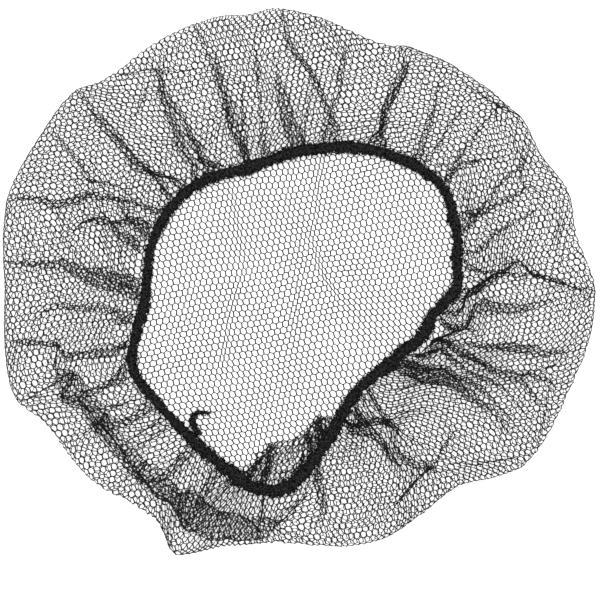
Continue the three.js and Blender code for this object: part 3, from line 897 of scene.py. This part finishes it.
def apply_tree(obj, tree, socket, value):
    """Runs a tree on an object, with one input set, and keeps the result as a plain mesh."""
    modifier = obj.modifiers.new(tree.name, "NODES")
    modifier.node_group = tree
    modifier[socket] = value
    bpy.context.view_layer.update()
    evaluated = obj.evaluated_get(bpy.context.evaluated_depsgraph_get())
    mesh = bpy.data.meshes.new_from_object(evaluated)
    mesh.name = obj.name
    obj.modifiers.clear()
    bare = obj.data
    obj.data = mesh
    bpy.data.meshes.remove(bare)


def put(name, data):
    """A new object in the scene, at the origin."""
    obj = bpy.data.objects.new(name, data)
    bpy.context.scene.collection.objects.link(obj)
    return obj


def claim(obj, node=None):
    """Tells the frame which body a piece rides on and which solid it replaces."""
    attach(obj, BODY)
    if node:
        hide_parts(node)


def line_object(name, points, edges, radius):
    """An object of bare edges, in metres, each point with its thread's radius."""
    mesh = bpy.data.meshes.new(name)
    mesh.vertices.add(len(points))
    mesh.vertices.foreach_set("co", np.asarray(points, np.float32).ravel())
    mesh.edges.add(len(edges))
    mesh.edges.foreach_set("vertices", np.asarray(edges, np.int32).ravel())
    attribute = mesh.attributes.new("thread_radius", "FLOAT", "POINT")
    attribute.data.foreach_set("value", np.asarray(radius, np.float32))
    mesh.update()
    return put(name, mesh)


def strands(name, lines, radii, material):
    """An object of separate threads, from each one's points in millimetres and radii in metres."""
    edges, start = [], 0
    for line in lines:
        n = len(line)
        edges.append(np.stack([np.arange(n - 1), np.arange(1, n)], 1) + start)
        start += n
    obj = line_object(name, np.concatenate(lines) * MM, np.concatenate(edges), np.concatenate(radii))
    tree, sides = thread_tree(material)
    apply_tree(obj, tree, sides, STRAND_SIDES)
    return obj


# ---------------------------------------------------------------- net


def settle(spots, pairs, rest, held):
    """Lets the net slip until few of its threads are stretched; squeezed ones give way easily."""
    first, second = pairs.T
    moved = spots.copy()
    count = np.bincount(first, minlength=len(spots)) + np.bincount(second, minlength=len(spots))
    count = np.maximum(count, 1)
    for _step in range(SETTLE_STEPS):
        span = moved[second] - moved[first]
        length = np.maximum(np.linalg.norm(span, axis=1), 1e-6)
        give = np.where(length > rest, STRETCHED_GIVE, SQUEEZED_GIVE) * (length - rest) / length / 2
        span *= give[:, None]
        for axis in range(3):
            pull = np.bincount(first, span[:, axis], len(spots))
            pull -= np.bincount(second, span[:, axis], len(spots))
            moved[:, axis] += (pull / count * 1.6 + STAY * (spots[:, axis] - moved[:, axis])) * held
    return moved


def knit(settings, lie):
    """The honeycomb of the flat net: zigzag threads along the rows and doubled links between them.

    Returns a cell's area, where the knots are in the flat and laid net, and the pairs that each kind joins."""
    row, column = (step / MM * np.array([math.cos(turn), math.sin(turn)]) for step, turn in (
        (settings.row_step, settings.row_bearing), (settings.column_step, settings.column_bearing)))
    cell_area = abs(row[0] * column[1] - row[1] * column[0])
    n = 2 * settings.half_count + 1
    i, j = np.meshgrid(np.arange(n) - settings.half_count, np.arange(n) - settings.half_count, indexing="ij")
    random = np.random.default_rng(settings.seed)
    knots = np.stack([(i[..., None] + part) * row + (j[..., None] + part) * column for part in (1 / 3, 2 / 3)])
    flat = knots.reshape(-1, 2) + random.normal(0, settings.disorder / MM * 0.6, (2 * n * n, 2))
    low, high = np.arange(2 * n * n).reshape(2, n, n)
    share = lie.share(flat)
    inside = share < 1 + CUT_BEYOND / lie.meridians.length.mean()
    zigzags = np.concatenate([
        np.stack([low.ravel(), high.ravel()], 1), np.stack([high[:-1].ravel(), low[1:].ravel()], 1)])
    links = np.stack([low[:, 1:].ravel(), high[:, :-1].ravel()], 1)
    zigzags, links = (pairs[inside[pairs].all(1)] for pairs in (zigzags, links))
    used = np.unique(np.concatenate([zigzags, links]))
    new = np.zeros(len(flat), int)
    new[used] = np.arange(len(used))
    zigzags, links, flat = new[zigzags], new[links], flat[used]
    placed = lie.place(flat)
    placed[:, 2] += random.normal(0, 0.05, len(placed))
    pairs = np.concatenate([zigzags, links])
    rest = np.linalg.norm(flat[pairs[:, 0]] - flat[pairs[:, 1]], axis=1)
    placed = settle(placed, pairs, rest, 1 - smoothstep(share[used], 0.9, 0.97))
    return cell_area, flat, placed, zigzags, links


class HAIRNET_OT_net(bpy.types.Operator):
    """Knit the net's threads and lay them as the crown and the gathered ruffle"""

    bl_idname = "hairnet.net"
    bl_label = "Net"

    def execute(self, context):
        settings = context.scene.hairnet_net
        lie = NetLie(settings)
        cell_area, flat, placed, *kinds = knit(settings, lie)
        placed[:, :2] -= MIDDLE
        material = thread_material(
            "nylon_thread", tuple(settings.colour), roughness=0.5, gloss=0.2, twist_pitch=0.9 * MM, dye_and_highlight_fleck=1.5,
            fineness=900, values=(0.3, 0.75))
        tree, sides = thread_tree(material)
        middles = [flat[pairs].mean(1) for pairs in kinds]
        shares = [lie.share(middle) for middle in middles]
        bearings = [np.degrees(np.arctan2(middle[:, 1], middle[:, 0])) for middle in middles]
        for name, low, high, start, end in NET_PIECES:
            threads, doubled = (
                pairs[(share > low) & (share <= high) & (np.mod(bearing - start, 360) < end - start)]
                for pairs, share, bearing in zip(kinds, shares, bearings))
            # A zigzag thread is thinner halfway between its knots, and a link is as thick all along.
            knots, index = np.unique(threads, return_inverse=True)
            index = index.reshape(-1, 2)
            halfway = len(knots) + np.arange(len(threads))
            link_knots, link_index = np.unique(doubled, return_inverse=True)
            points = np.concatenate([placed[knots], placed[threads].mean(1), placed[link_knots]])
            edges = np.concatenate([
                np.stack([index[:, 0], halfway], 1), np.stack([halfway, index[:, 1]], 1),
                link_index.reshape(-1, 2) + len(knots) + len(threads)])
            crown = low < 0
            radius = (CROWN_THREAD if crown else RUFFLE_THREAD) * np.concatenate([
                np.full(len(knots), settings.junction_radius), np.full(len(threads), settings.thread_radius),
                np.full(len(link_knots), settings.link_radius)])
            points[:, 2] = np.maximum(points[:, 2], radius / MM + 0.01)
            obj = line_object(name, points * MM, edges, radius)
            apply_tree(obj, tree, sides, settings.thread_sides)
            claim(obj, "net")
        return {"FINISHED"}


# ---------------------------------------------------------------- elastic and its loose end


def tube_object(name, line, widths, heights, sides, closed, material, bumps=1):
    """A closed skin round a path of centres, asides and ups, with a width and a height at each station."""
    centres, asides, ups = line
    count = len(centres)
    turn = TAU * np.arange(sides) / sides
    # A superellipse: rounder than a box and fuller than an ellipse.
    c, s = (np.sign(wave) * np.abs(wave) ** 0.8 for wave in (np.cos(turn), np.sin(turn)))
    wide, tall = (np.asarray(across)[:, None] / 2 * bumps for across in (widths, heights))
    points = (centres[:, None] + asides[:, None] * (c * wide)[..., None] + ups[:, None] * (s * tall)[..., None])
    faces = []
    for i in range(count if closed else count - 1):
        ahead = (i + 1) % count
        for k in range(sides):
            m = (k + 1) % sides
            faces.append((i * sides + k, ahead * sides + k, ahead * sides + m, i * sides + m))
    if not closed:
        faces.append(tuple(range(sides)))
        faces.append(tuple(reversed(range((count - 1) * sides, count * sides))))
    mesh = bpy.data.meshes.new(name)
    mesh.from_pydata(points.reshape(-1, 3).tolist(), [], faces)
    mesh.update()
    work = bmesh.new()
    work.from_mesh(mesh)
    bmesh.ops.remove_doubles(work, verts=work.verts, dist=1e-7)
    bmesh.ops.recalc_face_normals(work, faces=work.faces)
    work.to_mesh(mesh)
    work.free()
    for polygon in mesh.polygons:
        polygon.use_smooth = True
    mesh.materials.append(material)
    return put(name, mesh)


def loop_line(count):
    """The elastic's centre line in millimetres: points, ways outward and forward, widths and its length."""
    bearing = 360 * np.arange(count * 4) / (count * 4)
    reach = read_table(LOOP, bearing, True)
    angle = np.radians(bearing)
    plan = np.stack([
        reach * np.cos(angle) + LOOP_CENTRE[0], reach * np.sin(angle) + LOOP_CENTRE[1]], 1) - MIDDLE
    points = np.column_stack([plan, BAND_HEIGHT + BAND_WAVE * np.sin(BAND_WAVES * angle)])
    closed = np.vstack([points, points[:1]])
    run = np.concatenate([[0], np.cumsum(np.linalg.norm(np.diff(closed, axis=0), axis=1))])
    even = np.linspace(0, run[-1], count + 1)[:-1]
    points = np.stack([np.interp(even, run, closed[:, k]) for k in range(3)], 1)
    girth = read_table(GIRTH, np.interp(even, run, np.append(bearing, 360)), True)
    forward = unit(np.roll(points, -1, 0) - np.roll(points, 1, 0))
    outward = unit(np.cross(forward, [0, 0, 1.0]))
    return points, outward, forward, girth, run[-1]


def small_loop(root, away, ahead, tall, wide, sunk, lean=0):
    """A loop of thread that stands out from its root, with its ends sunk in."""
    t = np.linspace(0, math.pi, 6)
    return root + np.outer(np.sin(t) * tall - sunk, away) + np.outer(np.cos(t) * wide + np.sin(t) * lean, ahead)


def loose_fibre(root, heading, reach, bend, points):
    t = np.linspace(0, 1, points)[:, None]
    return root + heading * reach * t + bend * t**2


class HAIRNET_OT_elastic(bpy.types.Operator):
    """Build the gathered elastic with its stitches, stray loops and fuzz"""

    bl_idname = "hairnet.elastic"
    bl_label = "Elastic"

    def execute(self, context):
        settings = context.scene.hairnet_elastic
        # Its pale flecks, fourteen times its colour, are painted highlights on the knitted elastic.
        material = thread_material(
            "covered_elastic", tuple(settings.colour), roughness=0.7, gloss=0.03, twist_pitch=1.3 * MM,
            dye_and_highlight_fleck=14, fineness=1400, values=(0.42, 0.64))
        random = np.random.default_rng(settings.seed)
        points, outward, forward, girth, length = loop_line(CORE_STATIONS)
        up = np.cross(outward, forward)
        along = np.arange(CORE_STATIONS) / CORE_STATIONS * length
        place = points[:, :2]
        girth *= 1 + 0.08 * soft_noise(place, 14, 51) + 0.09 * soft_noise(place, 5, 52)
        points += outward * (0.22 * soft_noise(place, 11, 53) + 0.16 * soft_noise(place, 4.5, 54))[:, None]
        around = TAU * np.arange(CORE_SIDES) / CORE_SIDES
        ribs = 0.06 * np.sin(along[:, None] * TAU / RIB_SPACING + around * 3)
        knobs = 1 + random.normal(0, 0.02, CORE_STATIONS)[:, None] + ribs
        core = tube_object(
            "elastic_core", (points * MM, outward, up), (girth - 0.9) * MM,
            np.full(CORE_STATIONS, CORE_HEIGHT * MM), CORE_SIDES, True, material, knobs)
        line = points, outward, up, forward, girth[:, None] / 2
        lines, radii = self.stitches(settings, line, length, random)
        claim(core, "elastic_band")
        claim(strands("elastic_stitches", lines, radii, material))
        return {"FINISHED"}

    @staticmethod
    def stitches(settings, line, length, random):
        """Slanted wraps both ways round the elastic, stray loops beside it and fine fibres."""
        lines, radii = [], []
        count = len(line[0])

        def sample(at):
            return mix(line, *steps_round(np.mod(at / length, 1) * count, count))

        wraps = int(length / (settings.wrap_spacing / MM))
        turn = np.linspace(0, TAU, 13)
        for side in (1, -1):
            for k in range(wraps):
                base = length * (k + random.uniform(-0.4, 0.4)) / wraps
                slant = side * random.uniform(*WRAP_SLANTS)
                bulge = np.where(np.cos(turn) > 0, random.uniform(0.78, 1.14), random.uniform(0.78, 1.22))
                p, o, u, _f, g = sample(base + slant * np.sin(turn + random.uniform(0, 1.2)))
                lines.append(p + o * (g[:, 0] * bulge * np.cos(turn))[:, None]
                             + u * (WRAP_HEIGHT / 2 * np.sin(turn))[:, None])
                radii.append(np.full(len(turn), settings.wrap_radius * random.uniform(0.6, 1.15)))

        def root_of(spread):
            """A root on the elastic's inner or outer side, the way out of it, and the way along."""
            base = random.uniform(0, length)
            where = (0 if random.random() < OUTER_SHARE else math.pi) + random.normal(0, spread)
            p, o, u, f, g = (v[0] for v in sample(np.array([base])))
            away = o * math.cos(where) + u * math.sin(where) * 0.7
            return p + o * (g[0] - 0.15) * math.cos(where) + u * 1.3 * math.sin(where), away, f

        for _k in range(settings.stray_loops):
            root, away, f = root_of(0.5)
            tall, wide, lean = random.uniform(*LOOP_HEIGHTS), random.uniform(*LOOP_WIDTHS), random.normal(0, 0.4)
            lines.append(small_loop(root, away, f, tall, wide, 0.25, lean))
            radii.append(np.full(6, random.uniform(*LOOP_RADII) * MM))
        for _k in range(settings.fuzz_hairs):
            root, away, f = root_of(0.7)
            heading = away + f * random.normal(0, 0.9) + random.normal(0, 0.25, 3)
            reach = random.uniform(*HAIR_LENGTHS)
            lines.append(loose_fibre(root - away * 0.2, heading, reach, random.normal(0, 0.35, 3), 3))
            radii.append(np.array(HAIR_RADII) * MM)
        return lines, radii


class HAIRNET_OT_tail(bpy.types.Operator):
    """Build the loose end of the elastic with its frayed tip"""

    bl_idname = "hairnet.tail"
    bl_label = "Loose End"

    def execute(self, context):
        material = bpy.data.materials["covered_elastic"]
        random = np.random.default_rng(context.scene.hairnet_elastic.seed + 3)
        route = np.array(TAIL_ROUTE, float)
        route[:, :2] -= MIDDLE
        share = np.linspace(0, 1, len(route))
        fine = np.linspace(0, 1, 60)
        centres = np.stack([read_table(np.column_stack([share, route[:, k]]), fine) for k in range(3)], 1)
        forward = unit(np.gradient(centres, axis=0))
        aside = unit(np.cross([0, 0, 1.0], forward))
        up = np.cross(forward, aside)
        core_line = centres * MM, aside, up
        core_width, core_height = ((first + (last - first) * fine - less) * MM for first, last, less in (
            (*TAIL_WIDTHS, 0.3), (*TAIL_HEIGHTS, 0.2)))
        # The stitches run on past the core and join the loose end to the elastic.
        before = np.linspace(-TAIL_OVERLAP, 0, 10)[:-1]
        onto = centres[0] - forward[0] * 2.2 * (-before / TAIL_OVERLAP)[:, None] - [0, 0, 0.3]
        fine, centres = np.concatenate([before, fine]), np.concatenate([onto, centres])
        forward, aside, up = (
            np.concatenate([np.repeat(way[:1], len(before), 0), way]) for way in (forward, aside, up))
        size = np.interp(fine, [-TAIL_OVERLAP, 0, 1], [3.0, 2.6, 1.2])
        turn = np.linspace(0, TAU, 9)
        lines, radii = [], []
        for side in (1, -1):
            for k in range(TAIL_WRAPS):
                at = (k + 0.5 + random.uniform(-0.3, 0.3)) / TAIL_WRAPS + side * 0.022 * np.sin(turn)
                c, a, u, w = mix((centres, aside, up, size[:, None] / 2), *steps_along(at, len(fine)))
                w = w * random.uniform(0.8, 1.15)
                lines.append(c + a * w * np.cos(turn)[:, None] + u * w * 0.6 * np.sin(turn)[:, None])
                radii.append(np.full(len(turn), random.uniform(0.14, 0.24) * MM))
        for _k in range(TAIL_LOOPS):
            k = random.integers(0, len(fine) - 1)
            away = aside[k] * random.choice([-1, 1]) + up[k] * random.normal(0, 0.4)
            tall, wide = random.uniform(0.4, 1.3), random.uniform(0.25, 0.7)
            lines.append(small_loop(centres[k] + away * size[k] / 2, away, forward[k], tall, wide, 0.3))
            radii.append(np.full(6, random.uniform(0.09, 0.18) * MM))
        tip, heading = centres[-1], forward[-1]
        for _k in range(FRAYED_HAIRS):
            spread = random.normal(0, 0.5, 3)
            reach = random.uniform(*FRAYED_LENGTHS)
            lines.append(loose_fibre(tip - heading * 0.6, heading + spread, reach, random.normal(0, 0.4, 3), 5))
            radii.append(np.array(FRAYED_RADII) * MM)
        fray = strands("band_tail_stitches", lines, radii, material)
        core = tube_object("band_tail_core", core_line, core_width, core_height, 10, False, material)
        claim(core, "band_tail")
        claim(fray)
        return {"FINISHED"}


# ---------------------------------------------------------------- stage


class HAIRNET_OT_stage(bpy.types.Operator):
    """Lay the white surface, light it softly and set the camera straight above"""

    bl_idname = "hairnet.stage"
    bl_label = "Stage"

    def execute(self, context):
        settings = context.scene.hairnet_stage
        scene = context.scene
        colour = tuple(settings.floor_colour)
        material, tree, shader = start_material("white_surface", {
            "Roughness": 0.9, "Specular IOR Level": 0.0, "Emission Color": (1, 1, 1, 1),
            "Emission Strength": settings.floor_glow})
        speckle(tree, shader, {"Scale": 60}, ((0, [c * 0.985 for c in colour]), (1, colour)))
        mesh = bpy.data.meshes.new("floor")
        corners = [(x * FLOOR_HALF, y * FLOOR_HALF, 0) for x, y in ((-1, -1), (1, -1), (1, 1), (-1, 1))]
        mesh.from_pydata(corners, [], [(0, 1, 2, 3)])
        mesh.materials.append(material)
        put("floor", mesh)

        scene.world = bpy.data.worlds.new("white_surround")
        scene.world.use_nodes = True
        background = scene.world.node_tree.nodes["Background"]
        background.inputs["Color"].default_value = (1, 1, 1, 1)
        background.inputs["Strength"].default_value = settings.surround

        light = bpy.data.lights.new("softbox", "AREA")
        light.shape = "SQUARE"
        light.size = SOFTBOX_SIZE
        light.energy = settings.light_power
        put("softbox", light).location = SOFTBOX_PLACE

        lens = bpy.data.cameras.new("camera")
        lens.lens = settings.lens
        lens.sensor_width = 36
        lens.clip_end = 20
        camera = put("camera", lens)
        camera.location = (*((place - middle) * MM for place, middle in zip(VIEW_CENTRE, MIDDLE)),
                           settings.camera_height)
        scene.camera = camera
        scene.view_settings.view_transform = "Standard"
        scene.view_settings.look = "None"
        return {"FINISHED"}


class HAIRNET_PT_build(bpy.types.Panel):
    """Lists the pieces of the hairnet and their sizes"""

    bl_idname = "HAIRNET_PT_build"
    bl_label = "Hairnet"
    bl_space_type = "VIEW_3D"
    bl_region_type = "UI"
    bl_category = "Hairnet"

    def draw(self, context):
        for settings, operators in (
            (context.scene.hairnet_stage, ("hairnet.stage",)),
            (context.scene.hairnet_net, ("hairnet.net",)),
            (context.scene.hairnet_elastic, ("hairnet.elastic", "hairnet.tail")),
        ):
            box = self.layout.box()
            for name in settings.__annotations__:
                box.prop(settings, name)
            for operator in operators:
                box.operator(operator)


SETTINGS = {"hairnet_net": NetSettings, "hairnet_elastic": ElasticSettings, "hairnet_stage": StageSettings}
CLASSES = (
    *SETTINGS.values(), HAIRNET_OT_stage, HAIRNET_OT_net, HAIRNET_OT_elastic, HAIRNET_OT_tail, HAIRNET_PT_build)


def register():
    for cls in CLASSES:
        bpy.utils.register_class(cls)
    for name, group in SETTINGS.items():
        setattr(bpy.types.Scene, name, bpy.props.PointerProperty(type=group))


def unregister():
    for name in SETTINGS:
        delattr(bpy.types.Scene, name)
    for cls in reversed(CLASSES):
        bpy.utils.unregister_class(cls)


def main():
    register()
    bpy.ops.hairnet.stage()
    bpy.ops.hairnet.net()
    bpy.ops.hairnet.elastic()
    bpy.ops.hairnet.tail()


if __name__ == "__main__":
    main()
